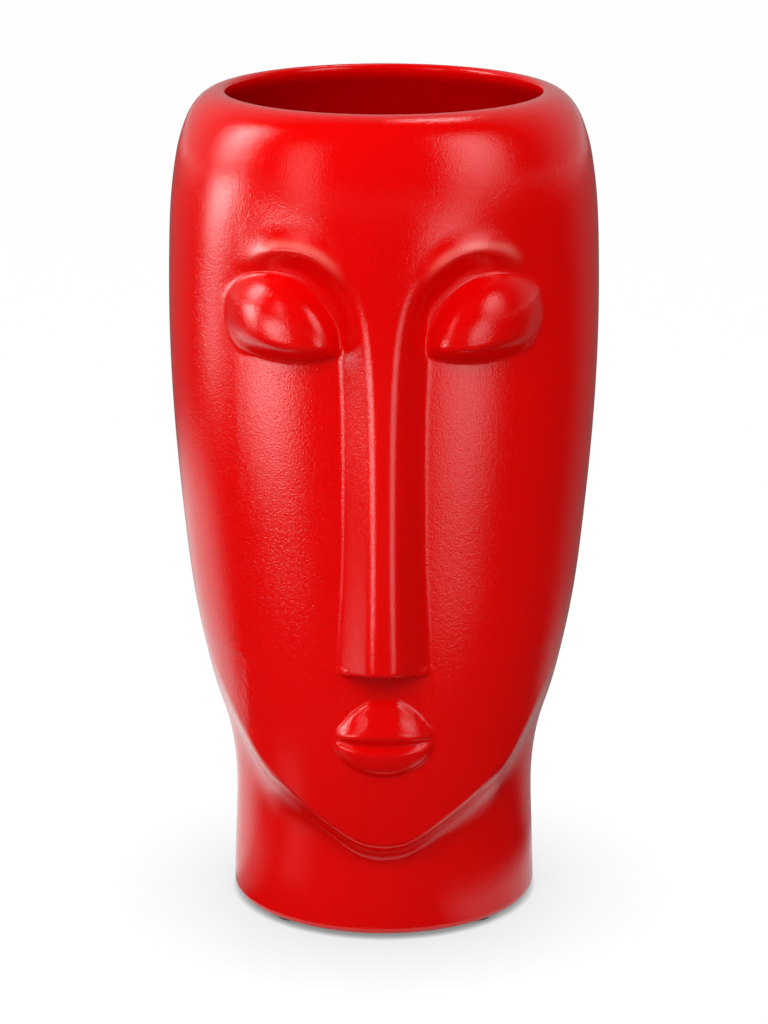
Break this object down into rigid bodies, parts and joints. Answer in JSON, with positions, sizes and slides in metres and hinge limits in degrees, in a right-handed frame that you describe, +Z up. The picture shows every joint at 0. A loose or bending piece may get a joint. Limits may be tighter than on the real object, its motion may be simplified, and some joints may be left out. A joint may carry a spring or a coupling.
{
  "type": "vase",
  "caption": "Tall glazed vase shaped as a long stylised face with closed eyes, slim nose and full lips over a round neck; holds flowers or branches in its wide mouth.",
  "frame": {"origin": "on the table, under the middle of the vase's box", "axes": "+Z up through the mouth, -Y the way the face looks, +X to the right of a viewer who faces the vase"},
  "size_m": [0.1544, 0.1647, 0.3],
  "materials": {
    "red_glaze": "glossy red glaze with a fine orange-peel skin",
    "pad_rubber": "matt black self-adhesive rubber"
  },
  "bodies": {
    "root": {"vase_body": "red_glaze", "foot_pad_front_left": "pad_rubber", "foot_pad_front_right": "pad_rubber", "foot_pad_rear_left": "pad_rubber", "foot_pad_rear_right": "pad_rubber"}
  },
  "joints": []
}
